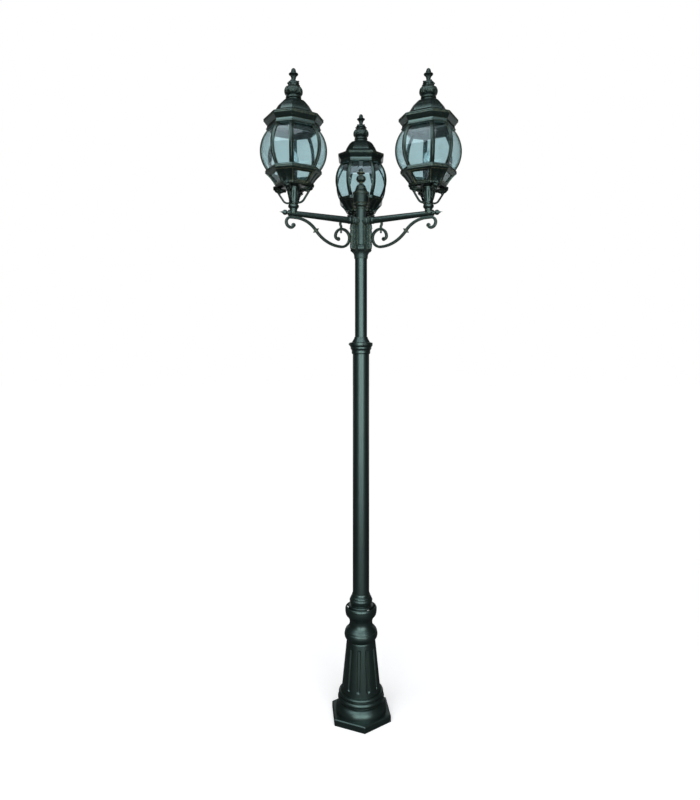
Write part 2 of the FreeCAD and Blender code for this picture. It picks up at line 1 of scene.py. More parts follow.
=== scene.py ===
"""The looks of the triple head lamp post: fine castings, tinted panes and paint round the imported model."""
from math import atan2, cos, degrees, hypot, pi, radians, sin

import bmesh
import bpy
import numpy as np
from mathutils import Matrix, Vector


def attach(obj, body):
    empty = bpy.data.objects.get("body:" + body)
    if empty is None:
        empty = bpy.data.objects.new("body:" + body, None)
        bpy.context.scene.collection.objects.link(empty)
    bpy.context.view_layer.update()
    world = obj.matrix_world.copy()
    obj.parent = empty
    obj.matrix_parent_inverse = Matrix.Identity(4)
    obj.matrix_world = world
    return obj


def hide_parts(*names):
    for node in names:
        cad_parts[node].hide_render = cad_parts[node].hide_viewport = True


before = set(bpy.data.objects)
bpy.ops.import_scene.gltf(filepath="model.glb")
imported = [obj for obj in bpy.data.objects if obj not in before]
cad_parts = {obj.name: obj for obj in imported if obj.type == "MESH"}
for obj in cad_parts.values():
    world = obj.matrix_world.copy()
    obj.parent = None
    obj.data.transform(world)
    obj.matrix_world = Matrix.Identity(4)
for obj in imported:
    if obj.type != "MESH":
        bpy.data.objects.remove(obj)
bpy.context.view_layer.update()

# Shapes are in millimetres up to the point where a mesh is made; a name that ends in _Z is a height over
# the ground. Materials, lamps and camera are in metres.
MM = 0.001

# Post
FOOT_CORNER_R, FOOT_TOP_Z = 116.5, 23.6
FOOT_TURN = 6.7                     # degrees by which the foot's front corner stands to the right
COLUMN_R, COLUMN_Z = (70.5, 52), (92, 272)
FLUTE_HALF, FLUTE_DEPTH, FLUTE_Z = 7.0, 3.4, (117, 250)
VASE_TOP_Z, COLLAR_TOP_Z = 400, 442
LOWER_MAST_R, UPPER_MAST_R = 30, 22
LOWER_MAST_Z, UPPER_MAST_Z = (8, 1330), (1150, 1680)
TUBE_WALL = 2
MAST_COLLAR_Z = 1309

# Head
HUB_Z, FIN_Z = (1655, 1843), (1694, 1776)
COLUMN_TOP_R = 16.9                 # the slim column over the hub's socket
CAP_SLEEVE_Z = (1843, 1892)
ARM_AZIMUTH = {"rear": 90, "left": 210, "right": 330}
ARM_Z, SEAT_Z = 1790, 1801
BRACKET_START = (255, 1776.1)       # x and height of the place where a scroll bracket meets its arm
LANTERN_S = 266                     # from the post's axis to a lantern's axis
LANTERN_TURN = {"rear": 0, "left": 0, "right": 3.5}

# Lantern outline: an octagon with four wide and four narrow sides, measured to its corners
WIDE_HALF = 27.2
NARROW_HALF = 45 - WIDE_HALF
OCTAGON_TURNS = [90 * k + side * WIDE_HALF for k in range(4) for side in (-1, 1)]
PLATE_Z = (1878, 1886)
BASKET_TOP_Z = 1920
LOW_RING_Z, TOP_RING_Z = (1920, 1938), (2071, 2087)
BARREL_R, BARREL_Z = (92, 114, 89), (1936, 1999, 2073)
RIB_WING, RIB_THICK = 8.2, 3.2
PANE_THICK, PANE_GAP = 3, 0.4
LINER_THICK = 2.4
BRIDGE_Z, STUD_TOP_Z = 2080.5, 2254
ROOF_TOP_Z, CROWN_TOP_Z, TIP_Z = 2173, 2241, 2286
HOLDER_TOP_Z, BULB_TOP_Z, BULB_WALL = 1950, 2012, 1.6


# -------- materials

def new_material(name, inputs):
    """Material, its node tree and its shader with these inputs."""
    made = bpy.data.materials.new(name)
    made.use_nodes = True
    shader = made.node_tree.nodes["Principled BSDF"]
    for key, value in inputs.items():
        shader.inputs[key].default_value = value
    return made, made.node_tree, shader


def node(tree, kind, inputs=None, **settings):
    """New shader node; inputs maps a socket's name or index to a value or to another node's output."""
    made = tree.nodes.new("ShaderNode" + kind)
    for key, value in settings.items():
        setattr(made, key, value)
    for key, value in (inputs or {}).items():
        if isinstance(value, bpy.types.NodeSocket):
            tree.links.new(value, made.inputs[key])
        else:
            made.inputs[key].default_value = value
    return made


def noise(tree, scale, detail=2.0, stretch=(1, 1, 1)):
    place = node(tree, "TexCoord").outputs["Object"]
    place = node(tree, "Mapping", {"Vector": place, "Scale": stretch}).outputs[0]
    return node(tree, "TexNoise", {"Vector": place, "Scale": scale, "Detail": detail}).outputs[0]


def ranged(tree, value, low, high, to_low=0.0, to_high=1.0):
    sockets = {"Value": value, "From Min": low, "From Max": high, "To Min": to_low, "To Max": to_high}
    return node(tree, "MapRange", sockets).outputs[0]


def mixed(tree, factor, first, second):
    sockets = {0: factor, 6: first, 7: second}
    return node(tree, "Mix", sockets, data_type="RGBA").outputs[2]


def product(tree, first, second):
    return node(tree, "Math", {0: first, 1: second}, operation="MULTIPLY").outputs[0]


def edge_mask(tree, radius):
    """1 on edges and raised detail that a dry brush would touch, 0 on open faces."""
    soft = node(tree, "Bevel", {"Radius": radius}, samples=4).outputs[0]
    hard = node(tree, "NewGeometry").outputs["Normal"]
    level = node(tree, "VectorMath", {0: soft, 1: hard}, operation="DOT_PRODUCT").outputs["Value"]
    return ranged(tree, level, 0.99, 0.90)


def coloured(tree, shader, colour):
    tree.links.new(colour, shader.inputs["Base Color"])


def roughened(tree, shader, pattern, smoothest, roughest):
    """Roughness that follows a pattern."""
    level = ranged(tree, pattern, 0.3, 0.7, smoothest, roughest)
    tree.links.new(level, shader.inputs["Roughness"])


def bumped(tree, shader, height, strength, distance):
    bump = node(tree, "Bump", {"Height": height, "Strength": strength, "Distance": distance})
    tree.links.new(bump.outputs[0], shader.inputs["Normal"])


PAINT_DARK, PAINT_LIGHT = (0.0018, 0.0036, 0.0031, 1), (0.0036, 0.0066, 0.0057, 1)
RUB_GOLD, RUB_GREEN = (0.33, 0.33, 0.185, 1), (0.17, 0.20, 0.12, 1)
SHEEN_TINT, GLASS_TINT = (0.62, 0.96, 0.90, 1), (0.80, 0.95, 1, 1)


def painted(name, grain, rough, rub=0.0, reach=0.0, index=2.0, grain_scale=520):
    """Dark green satin paint; rub is how much old gold is brushed on its edges, reach how far in."""
    made, tree, shader = new_material(name, {"Specular Tint": SHEEN_TINT, "IOR": index})
    colour = mixed(tree, ranged(tree, noise(tree, 11, 4), 0.35, 0.65), PAINT_DARK, PAINT_LIGHT)
    if rub:
        strokes = ranged(tree, noise(tree, 85, 5, (1, 1, 0.35)), 0.36, 0.62, 0.1, rub)
        gold = mixed(tree, noise(tree, 23, 2), RUB_GREEN, RUB_GOLD)
        colour = mixed(tree, product(tree, edge_mask(tree, reach), strokes), colour, gold)
        dusting = product(tree, ranged(tree, noise(tree, 160, 4), 0.52, 0.74), 0.06 * rub)
        colour = mixed(tree, dusting, colour, gold)
    coloured(tree, shader, colour)
    powder = noise(tree, grain_scale, 3)
    roughened(tree, shader, powder, rough - 0.05, rough + 0.07)
    bumped(tree, shader, powder, grain, 0.0005)
    return made


def tinted_glass(name, tint, ripple, index, clearness=1.0):
    """Clear glass with a faint ripple; light that only casts shadows passes through it tinted."""
    made, tree, shader = new_material(name, {"Transmission Weight": clearness, "Roughness": 0.0,
                                             "Specular Tint": GLASS_TINT, "IOR": index})
    streak = ranged(tree, noise(tree, 16, 3, (1, 1, 0.5)), 0.3, 0.7)
    deeper = tuple(0.93 * c for c in tint[:3]) + (1,)
    coloured(tree, shader, mixed(tree, streak, tint, deeper))
    bumped(tree, shader, noise(tree, 34, 2), ripple, 0.0006)
    clear = node(tree, "BsdfTransparent", {"Color": tint})
    shadow = node(tree, "LightPath").outputs["Is Shadow Ray"]
    both = node(tree, "MixShader", {0: shadow, 1: shader.outputs[0], 2: clear.outputs[0]})
    tree.links.new(both.outputs[0], tree.nodes["Material Output"].inputs["Surface"])
    return made


def plain_metal(name, dark, light, rough, scale):
    """Bare metal with fine brushing and slight tarnish."""
    made, tree, shader = new_material(name, {"Metallic": 1.0})
    coloured(tree, shader, mixed(tree, ranged(tree, noise(tree, 55, 3), 0.35, 0.65), dark, light))
    brushing = noise(tree, scale, 4, (1, 1, 0.12))
    roughened(tree, shader, brushing, rough - 0.07, rough + 0.1)
    bumped(tree, shader, brushing, 0.12, 0.0002)
    return made


def moulded_plastic(name, dark, light, rough):
    made, tree, shader = new_material(name, {})
    coloured(tree, shader, mixed(tree, noise(tree, 40, 3), dark, light))
    grain = noise(tree, 900, 2)
    roughened(tree, shader, grain, rough - 0.05, rough + 0.08)
    bumped(tree, shader, grain, 0.15, 0.0002)
    return made


CASTING = painted("casting_paint", grain=0.20, rough=0.36, rub=0.60, reach=0.0020, index=1.90)
TOP_PAINT = painted("top_paint", grain=0.22, rough=0.36, rub=0.25, reach=0.0012, index=1.62)
CAP_PAINT = painted("cap_paint", grain=0.24, rough=0.42, rub=0.90, reach=0.0030, index=1.62)
BUD_PAINT = painted("bud_paint", grain=0.20, rough=0.34, rub=0.15, reach=0.0010, index=1.48)
HUB_PAINT = painted("hub_paint", grain=0.26, rough=0.54, rub=0.55, reach=0.0022)
PLATE_PAINT = painted("plate_paint", grain=0.18, rough=0.28, rub=0.70, reach=0.0018, index=1.80)
BASE_PAINT = painted("base_paint", grain=0.20, rough=0.37, rub=0.16, reach=0.0018)
RING_PAINT = painted("ring_paint", grain=0.18, rough=0.28, rub=0.80, reach=0.0016)
RIB_PAINT = painted("rib_paint", grain=0.16, rough=0.27, rub=0.70, reach=0.0012, index=1.66)
TUBE_PAINT = painted("tube_paint", grain=0.08, rough=0.37, grain_scale=900)
PANE_GLASS = tinted_glass("pane_glass", (0.59, 0.733, 0.757, 1), 0.22, 1.50)
BULB_GLASS = tinted_glass("lamp_glass", (0.90, 0.94, 0.95, 1), 0.05, 1.85, 0.80)
ZINC = plain_metal("screw_zinc", (0.42, 0.43, 0.42, 1), (0.60, 0.61, 0.60, 1), 0.30, 700)
DARK_ZINC = plain_metal("stud_zinc", (0.045, 0.052, 0.050, 1), (0.085, 0.095, 0.090, 1), 0.42, 500)
BRASS = plain_metal("cap_brass", (0.52, 0.38, 0.16, 1), (0.72, 0.55, 0.26, 1), 0.28, 700)
HOLDER = moulded_plastic("holder_black", (0.010, 0.010, 0.011, 1), (0.020, 0.020, 0.021, 1), 0.42)
BUSH = moulded_plastic("bush_nylon", (0.62, 0.61, 0.57, 1), (0.74, 0.73, 0.69, 1), 0.50)
WIRE = plain_metal("lamp_wire", (0.20, 0.19, 0.18, 1), (0.34, 0.33, 0.31, 1), 0.32, 500)


# -------- shapes: (points, faces), in millimetres

def arc(start, middle, end, steps):
    """Points after start along the circle through three points of a plane."""
    (ax, ay), (bx, by), (cx, cy) = start, middle, end
    d = 2 * (ax * (by - cy) + bx * (cy - ay) + cx * (ay - by))
    a, b, c = ax * ax + ay * ay, bx * bx + by * by, cx * cx + cy * cy
    ux = (a * (by - cy) + b * (cy - ay) + c * (ay - by)) / d
    uy = (a * (cx - bx) + b * (ax - cx) + c * (bx - ax)) / d
    radius = hypot(ax - ux, ay - uy)
    turns = [atan2(y - uy, x - ux) for x, y in (start, middle, end)]
    to_middle = (turns[1] - turns[0] + pi) % (2 * pi) - pi
    in_all = to_middle + (turns[2] - turns[1] + pi) % (2 * pi) - pi
    stops = [turns[0] + in_all * k / steps for k in range(1, steps + 1)]
    return [np.array((ux + radius * cos(t), uy + radius * sin(t))) for t in stops]


def eased(line, ease, steps=3, loop=False):
    """The line with its sharp corners rounded by at most ease."""
    result = []
    for i, spot in enumerate(line):
        spot = np.asarray(spot, float)
        if not loop and i in (0, len(line) - 1):
            result.append(spot)
            continue
        back = np.asarray(line[i - 1], float) - spot
        on = np.asarray(line[(i + 1) % len(line)], float) - spot
        reach = min(ease, 0.45 * hypot(*back), 0.45 * hypot(*on))
        back, on = back / hypot(*back), on / hypot(*on)
        if back @ on < -0.97:
            result.append(spot)
            continue
        for k in range(steps + 1):
            t = k / steps
            bend = (1 - t) ** 2 * (spot + back * reach) + 2 * t * (1 - t) * spot + t * t * (spot + on * reach)
            result.append(bend)
    return result


def outline(points, ease=0.8, steps=9, loop=False):
    """Line through points (x, y); (x, y, mid x, mid y) ends an arc through its middle. Corners are eased."""
    line = [np.array(points[0][:2], float)]
    for point in points[1:]:
        if len(point) == 4:
            line += arc(line[-1], point[2:], point[:2], steps)
        else:
            line.append(np.array(point, float))
    return eased(line, ease, loop=loop)


def at_height(flat, z):
    """Ring of points (x, y, z) from points (x, y)."""
    return np.column_stack([flat, np.full(len(flat), z)])


def around(radii, turns, z):
    """Ring of points at angles round the Z axis."""
    return at_height(np.column_stack([radii * np.cos(turns), radii * np.sin(turns)]), z)


def skin(rings, loop=False):
    """Closed surface through rings with as many points each; a loop's last ring meets its first."""
    n, count = len(rings[0]), len(rings)
    faces = []
    for i in range(count if loop else count - 1):
        a, b = i * n, (i + 1) % count * n
        faces += [(a + j, a + (j + 1) % n, b + (j + 1) % n, b + j) for j in range(n)]
    if not loop:
        faces += [tuple(reversed(range(n))), tuple(range((count - 1) * n, count * n))]
    return np.concatenate(rings), faces


def joined(*forms):
    points, faces, total = [], [], 0
    for spots, sides in forms:
        points.append(spots)
        faces += [tuple(i + total for i in side) for side in sides]
        total += len(spots)
    return np.concatenate(points), faces


def lathe(profile, segments=96, loop=False, relief=None):
    """Turned form from a profile of (radius, z); relief(turns, radius, z) gives carved radii."""
    turns = np.linspace(0, 2 * pi, segments, endpoint=False)
    rings = [around(relief(turns, radius, z) if relief else radius, turns, z) for radius, z in profile]
    return skin(rings, loop)


def polygon_form(profile, turns, ease, loop):
    """Form with corners at angles in degrees, from a profile of (corner radius, z)."""
    rings = []
    for radius, z in profile:
        corners = [(radius * cos(radians(turn)), radius * sin(radians(turn))) for turn in turns]
        rings.append(at_height(eased(corners, ease, 3, True), z))
    return skin(rings, loop)


def octagon_form(profile, loop=True):
    return polygon_form(profile, OCTAGON_TURNS, 1.6, loop)


def off_centre(turns, count, first=0.0):
    """Angle from each turn to the nearest of count even places; first is one of them, in degrees."""
    pitch = 2 * pi / count
    return np.abs((turns - radians(first) + pitch / 2) % pitch - pitch / 2)


def gadrooned(*bands):
    """Relief of upright lobes; each band is (count, depth, low, high)."""
    def relief(turns, radius, z):
        for count, depth, low, high in bands:
            if low < z < high:
                fade = sin(pi * (z - low) / (high - low)) ** 0.5
                return radius - depth * fade * (1 - np.abs(np.cos(count * turns / 2))) ** 1.5
        return radius
    return relief


def moved(form, x=0, y=0, z=0):
    return form[0] + np.array((x, y, z)), form[1]


def mirrored(form):
    return form[0] * np.array((1, -1, 1)), form[1]


def spun(form, turn):
    """Form turned about the Z axis by degrees."""
    c, s = cos(radians(turn)), sin(radians(turn))
    return form[0] @ np.array([[c, s, 0], [-s, c, 0], [0, 0, 1]]), form[1]


def tilted(form, turn):
    """Form turned in the XZ plane by degrees, from X towards Z."""
    c, s = cos(radians(turn)), sin(radians(turn))
    return form[0] @ np.array([[c, 0, s], [0, 1, 0], [-s, 0, c]]), form[1]


def lying(form):
    """Form with its Z axis laid along X."""
    return form[0][:, [2, 1, 0]] * np.array((1, -1, 1)), form[1]


def lying_y(form):
    """Form with its Z axis laid along Y."""
    return form[0][:, [0, 2, 1]] * np.array((1, -1, 1)), form[1]


def sweep(path, section, wide=1.0, deep=1.0):
    """Closed bar along a path in the XZ plane; a section is (along Y, along the path's normal)."""
    path = np.asarray(path, float)
    ahead = np.gradient(path, axis=0)
    ahead /= np.linalg.norm(ahead, axis=1)[:, None]
    wide, deep = np.broadcast_to(wide, len(path)), np.broadcast_to(deep, len(path))
    rings = []
    for (x, z), (dx, dz), w, d in zip(path, ahead, wide, deep):
        rings.append(np.array([(x - dz * b * d, a * w, z + dx * b * d) for a, b in section]))
    return skin(rings)


def round_section(count=16):
    return [(cos(2 * pi * k / count), sin(2 * pi * k / count)) for k in range(count)]


def box_section(wide, deep, ease=1.2):
    corners = [(-wide / 2, -deep / 2), (wide / 2, -deep / 2), (wide / 2, deep / 2), (-wide / 2, deep / 2)]
    return eased(corners, ease, 3, True)


def bow(start, heading, bends, step):
    """Path in the XZ plane: arcs (radius, degrees) that follow each other, or straight (0, length)."""
    spots = [np.array(start, float)]
    for radius, amount in bends:
        if radius == 0:
            count = max(1, int(amount / 2))
            ahead = amount * np.array((cos(radians(heading)), sin(radians(heading))))
            spots += [spots[-1] + ahead * k / count for k in range(1, count + 1)]
            continue
        hand = 1 if amount > 0 else -1
        count = max(4, int(abs(amount) / step))
        centre = spots[-1] + hand * radius * np.array((-sin(radians(heading)), cos(radians(heading))))
        for k in range(1, count + 1):
            at = radians(heading + amount * k / count)
            spots.append(centre + hand * radius * np.array((sin(at), -cos(at))))
        heading += amount
    return spots


def leaf(path, width, thick, lobes, cup):
    """Cast leaf with a lobed edge and a raised midrib; the path runs from its root to its tip."""
    along = np.linspace(0, 1, len(path))
    swell = np.sin(pi * np.clip(0.16 + 0.84 * along, 0, 1)) ** 0.75
    wide = width / 2 * np.maximum(swell * (1 + 0.16 * np.cos(2 * pi * lobes * along)), 0.06)
    deep = thick * np.maximum(1 - 0.6 * along ** 3, 0.2)
    across = np.linspace(-1, 1, 13)
    body = 0.5 * np.sqrt(np.clip(1 - across ** 2, 0, 1))
    hollow = cup * across ** 2 * width / 2 / thick
    midrib = 0.35 * np.exp(-(across / 0.13) ** 2)
    veins = 0.12 * np.cos(across * 3.5 * pi) ** 2 * body
    top, low = hollow + body + midrib - veins, hollow - body
    section = list(zip(across, top)) + list(zip(across[-2:0:-1], low[-2:0:-1]))
    return sweep(path, section, wide, deep)


def button_head(radius, height):
    """Button screw head with a hexagon socket, standing on the XY plane."""
    turns = np.linspace(0, 2 * pi, 36, endpoint=False)
    socket = 0.5 * radius * cos(pi / 6) / np.cos(off_centre(turns, 6))
    levels = ((radius, 0), (radius, height * 0.45), (radius * 0.9, height * 0.8), (radius * 0.7, height),
              (socket * 1.1, height), (socket, height * 0.93), (socket, height * 0.35))
    return skin([around(radii, turns, z) for radii, z in levels])


CREASE = 32                         # degrees between two faces from which their edge stays sharp


def added(name, data):
    """New object in the scene."""
    made = bpy.data.objects.new(name, data)
    bpy.context.scene.collection.objects.link(made)
    return made


def piece(name, form, material, body, *nodes):
    """Blender piece from a form, riding on a body and standing for CAD nodes."""
    mesh = bpy.data.meshes.new(name)
    mesh.from_pydata((form[0] * MM).tolist(), [], form[1])
    work = bmesh.new()
    work.from_mesh(mesh)
    bmesh.ops.remove_doubles(work, verts=work.verts, dist=2e-6)
    bmesh.ops.dissolve_degenerate(work, dist=1e-7, edges=work.edges)
    bmesh.ops.recalc_face_normals(work, faces=work.faces)
    for face in work.faces:
        face.smooth = True
    for edge in work.edges:
        edge.smooth = len(edge.link_faces) != 2 or degrees(edge.calc_face_angle(0)) < CREASE
    work.to_mesh(mesh)
    work.free()
    mesh.materials.append(material)
    made = added(name, mesh)
    flats = made.modifiers.new("flats", "WEIGHTED_NORMAL")
    flats.keep_sharp = True
    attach(made, body)
    if nodes:
        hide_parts(*nodes)
    return made


# -------- post

def plinth_form():
    """Hexagonal plinth with eased edges."""
    profile = [(106, 0), (FOOT_CORNER_R, 0), (FOOT_CORNER_R, 20), (FOOT_CORNER_R - 3.5, 23), (88, FOOT_TOP_Z)]
    return polygon_form(outline(profile, 1.0), [270 + FOOT_TURN + 60 * k for k in range(6)], 2.2, False)


def mouldings_form():
    """Turned mouldings between the plinth and the fluted column."""
    low, high = FOOT_TOP_Z - 1.6, COLUMN_Z[0]
    profile = [(91, low), (91, low + 2), (73, 57, 87.5, 44), (73, 60.8), (75, 61.8), (77, 79.2, 83.7, 71),
               (75.2, 80), (75.2, 81.4), (77, 82), (COLUMN_R[0], high, 80.7, high - 4.4)]
    return lathe(outline(profile, 0.6), 144)


def fluted(turns, radius, z):
    """Relief of twelve shallow flutes with round ends."""
    across = off_centre(turns, 12, 22.5) * radius
    past = max(FLUTE_Z[0] - z, z - FLUTE_Z[1], 0)
    cut = np.clip((FLUTE_HALF - np.hypot(across, past)) / FLUTE_DEPTH, 0, 1)
    return radius - FLUTE_DEPTH * cut * cut * (3 - 2 * cut)


def column_form():
    """Fluted wall, the vase with its beads, and the dish in its top that the collar stands in."""
    (foot_r, head_r), (low, high), top = COLUMN_R, COLUMN_Z, VASE_TOP_Z
    wall = [(foot_r - (foot_r - head_r) * (z - low) / (high - low), z) for z in np.arange(low, high, 1.5)]
    vase = outline([(head_r, high), (50.9, high + 1.5), (50.9, high + 4), (60, 297.5, 58.2, 285.5),
                    (59.4, 302), (57.6, 305), (56.6, 306), (56.6, 307.2), (57.6, 308.2),
                    (49.5, 318, 54.8, 313), (41.4, 340, 43, 328), (41.6, 345), (44.8, 352),
                    (49.6, 359.5, 46.8, 356), (52.6, 362), (54.8, 365.5), (57, 384, 56.6, 374),
                    (53.5, 395, 56.4, 391), (51.6, 394.4), (50.6, 386), (46.2, 385.4), (45.6, 396.6),
                    (42.5, top, 45, top - 0.8), (LOWER_MAST_R, top)], 0.7)
    inside = [(LOWER_MAST_R, 316), (44, 300), (44, high), (62, low)]
    return lathe(wall + vase + inside, 480, True, fluted)


def base_collar_form():
    tube, tall = LOWER_MAST_R, COLLAR_TOP_Z - VASE_TOP_Z
    profile = [(tube, 0), (36.2, 0), (36.2, 4), (41.3, 16, 39.6, 9), (39.6, 22.4, 41.2, 20), (38.0, 23.4),
               (38.0, 25), (34.3, 31.5, 37.2, 29), (33.2, 32.4), (33.2, tall - 5.5), (31.6, tall),
               (tube, tall)]
    return moved(lathe(outline(profile, 0.7), 96, True), z=VASE_TOP_Z)


def screws_form(z, turn, face_r, radius, height):
    """Three screws that point outwards from a face, the first at turn degrees."""
    one = moved(lying(button_head(radius, height)), face_r, 0, z)
    return joined(*[spun(one, turn + 120 * k) for k in range(3)])


def tube_form(radius, low, high):
    inner = radius - TUBE_WALL
    profile = [(inner, low), (radius, low), (radius, high), (inner, high)]
    return lathe(outline(profile, 0.4, loop=True), 128, True)


def mast_collar_form():
    profile = [(LOWER_MAST_R, 0), (32, 0), (33.8, 3), (33.8, 12), (36, 17), (38, 19), (38, 25), (40, 28),
               (42.3, 31), (42.3, 41), (33, 43), (31.5, 46), (25.5, 56), (24, 62), (22.3, 62), (22.3, 21)]
    return moved(lathe(outline(profile, 1.1, loop=True), 128, True), z=MAST_COLLAR_Z)


# -------- head

def lugs(turns, radius, _z):
    """Relief that cuts the socket's ring back to its neck under the arms."""
    neck, between_arms = 24.5, ARM_AZIMUTH["rear"] - 60
    near = np.clip(1.35 * np.exp(-(off_centre(turns, 3, between_arms) / 0.50) ** 2), 0, 1)
    return np.where(radius > neck, neck + (radius - neck) * near, radius)


def hub_core():
    """Socket with a lug between each two arms, and the slim column above it with its rim."""
    tall = HUB_Z[1] - HUB_Z[0]
    socket = [(22, 0), (24, 0), (25.5, 7), (37, 27, 29, 20), (38.5, 29), (40, 31), (40, 36), (37, 38),
              (35, 43), (30, 47), (22, 50)]
    foot = [(20, 5), (22.6, 5), (22.6, 17), (21, 19), (21, 22), (17, 25), (10, 25)]
    column = [(10, 21), (COLUMN_TOP_R, 21), (COLUMN_TOP_R, tall), (10, tall)]
    rim = [(14, tall - 9), (18.6, tall - 8), (19.4, tall - 5), (18.6, tall - 1.6), (14, tall - 1)]
    forms = [lathe(outline(socket, 0.9, loop=True), 144, True, lugs), lathe(outline(foot, 0.7)),
             lathe(outline(column, 0.5)), lathe(outline(rim, 1.0))]
    return moved(joined(*forms), z=HUB_Z[0])


def fin_web(low, high, leaves):
    """Web of a fin, thin at its root, with leaves in relief one above another."""
    pitch, root = (high - low) / leaves, 20
    rings = []
    for z in np.linspace(low, high, 150):
        edge = 42.0 + 3.6 * abs(sin(pi * (z - low) / pitch)) ** 0.7
        leafed = np.linspace(25.5, edge - 1.2, 22)
        across = np.concatenate([(12, 15, 18, root, 22, 24), leafed, (edge - 0.4, edge)])
        part = np.clip((across - root) / (edge - root), 0, 1)
        core = 1.5 + 2.9 * np.clip((across - 19) / 6, 0, 1) ** 1.5
        lift = np.zeros(len(across))
        for k in range(-1, leaves + 1):
            spine = low + pitch * (k + 0.15 + 0.85 * part ** 1.4)
            half = 0.40 * pitch * np.sin(pi * np.clip(0.12 + 0.80 * part, 0, 1)) ** 0.6
            half *= 1 + 0.20 * np.cos(2 * pi * 3 * part)
            off = (z - spine) / half
            body = np.sqrt(np.clip(1 - off ** 2, 0, 1)) * (1 - 0.35 * np.exp(-(off / 0.16) ** 2))
            lift = np.maximum(lift, (1.2 + 2.2 * part) * body)
        rounding = ((across - 30) / (edge - 30)) ** 8 * (across > 30)
        thick = (core + lift) * np.sqrt(np.clip(1.02 - rounding, 0.05, 1))
        side = np.column_stack([across, thick])
        rings.append(at_height(np.concatenate([side, side[::-1] * np.array((1, -1))]), z))
    return skin(rings)


def hub_fin():
    """One arm's fin: the leafed web, leaf tips on its edge and the boss that holds the arm, facing +X."""
    (low, high), leaves = FIN_Z, 4
    forms = [fin_web(low - 6, high, leaves)]
    for k in range(leaves):
        path = bow((36, low + 1 + 20 * k), 62, [(26, 44), (6, -150)], 9)
        forms.append(leaf(path, 11, 3.4, 3, 0.3))
    boss = [(11, 0), (15.5, 0), (15.5, 8), (13.8, 9.5), (13.8, 11.5), (15.8, 13), (15.8, 17), (12.6, 18)]
    forms.append(moved(lying(lathe(outline(boss, 0.9), 64)), 22, 0, ARM_Z))
    block = lathe([(6, 0), (13.5, 0), (13.5, 24), (6, 24)], 48)
    forms.append(moved(lying(block), 4, 0, ARM_Z))
    return joined(*forms)


def arm_form():
    """Tapering arm with a spear tip and the lantern's seat."""
    shaft = [(7.9, 21), (7.9, 40), (12.5, 40), (12.3, 46), (13.4, 48), (13.4, 51), (12.2, 53), (9.1, 279),
             (10.4, 281), (10.4, 284.5), (6, 286.5), (4.8, 290), (8.6, 296, 7.4, 291.8),
             (6.8, 303, 8.7, 300), (0.3, 318, 2.6, 309)]
    seat = [(7, -11), (12.0, -11), (11.6, -5), (12.6, -2), (12.6, 0), (6, 0), (6, 13), (5, 14)]
    return joined(moved(lying(lathe(outline(shaft, 0.8), 64)), z=ARM_Z),
                  moved(lathe(outline(seat, 0.6), 64), LANTERN_S, z=SEAT_Z))


def knuckle_form():
    """Banded knuckle round the bracket's bar, with a small spike on each side of it."""
    band = [(4.5, -5.4), (6.6, -5.0), (6.6, -3.4), (5.6, -2.8), (7.6, -1.4), (7.6, 1.4), (5.6, 2.8),
            (6.6, 3.4), (6.6, 5.0), (4.5, 5.4)]
    spikes = ((-13, 1.4), (-9, 2.8), (-4, 4.6), (4, 4.6), (9, 2.8), (13, 1.4))
    path, thick = [(0, z) for z, _ in spikes], [size for _, size in spikes]
    return joined(lying(lathe(outline(band, 0.6), 40)), sweep(path, round_section(), thick, thick))


def scroll_form():
    """S-shaped bar curled at both ends, with its knuckle, the link to the arm and the drop bead."""
    start_x, start_z = BRACKET_START
    upper_r, lower_r, lean = 94, 125.6, 52
    bar = box_section(9.2, 9.4, 1.8)
    curl = [(34, -90), (29.5, -90), (27, -90), (9.5, -100)]
    inward = bow(BRACKET_START, 180, [(upper_r, lean), (lower_r, -lean)] + curl, 4)
    outward = bow(BRACKET_START, 0, [(0, 20), (17.5, -180), (9, -90)], 5)
    forms = [sweep(inward, bar), sweep(outward, bar)]
    bead = [(0.2, -4.6), (5.6, -4.6), (7.4, -2.4), (7.4, 2.4), (5.6, 4.6), (0.2, 4.6)]
    bead = lying_y(lathe(outline(bead, 1.4), 40))
    forms += [moved(bead, x, 0, z) for x, z in (inward[-1], outward[-1])]
    run, fall = sin(radians(lean)), 1 - cos(radians(lean))
    forms.append(moved(tilted(knuckle_form(), lean), start_x - upper_r * run, 0, start_z - upper_r * fall))
    link = bow((84, start_z + 2.9), -62, [(11, -62), (9, 88), (9, -40)], 8)
    forms.append(sweep(link, box_section(7.4, 8.2, 1.8)))
    curl_top = start_z - (upper_r + lower_r) * fall + 63.5
    drop = [(0.2, -13), (3.6, -10, 3.0, -12.3), (3.8, -6), (2.2, -4), (4.4, -1), (4.4, 2), (0.2, 3)]
    forms.append(moved(lathe(outline(drop, 0.6), 32), 82, 0, curl_top - 2))
    return joined(*forms)


def cap_sleeve_form():
    tall = CAP_SLEEVE_Z[1] - CAP_SLEEVE_Z[0]
    profile = [(16.5, 0), (22.5, 0), (25.6, 2.5), (25.6, 9), (24.4, 11), (27.6, 13.5), (27.6, tall - 8),
               (29, tall - 6), (29, tall), (16.5, tall)]
    return moved(lathe(outline(profile, 0.9, loop=True), 112, True), z=CAP_SLEEVE_Z[0])


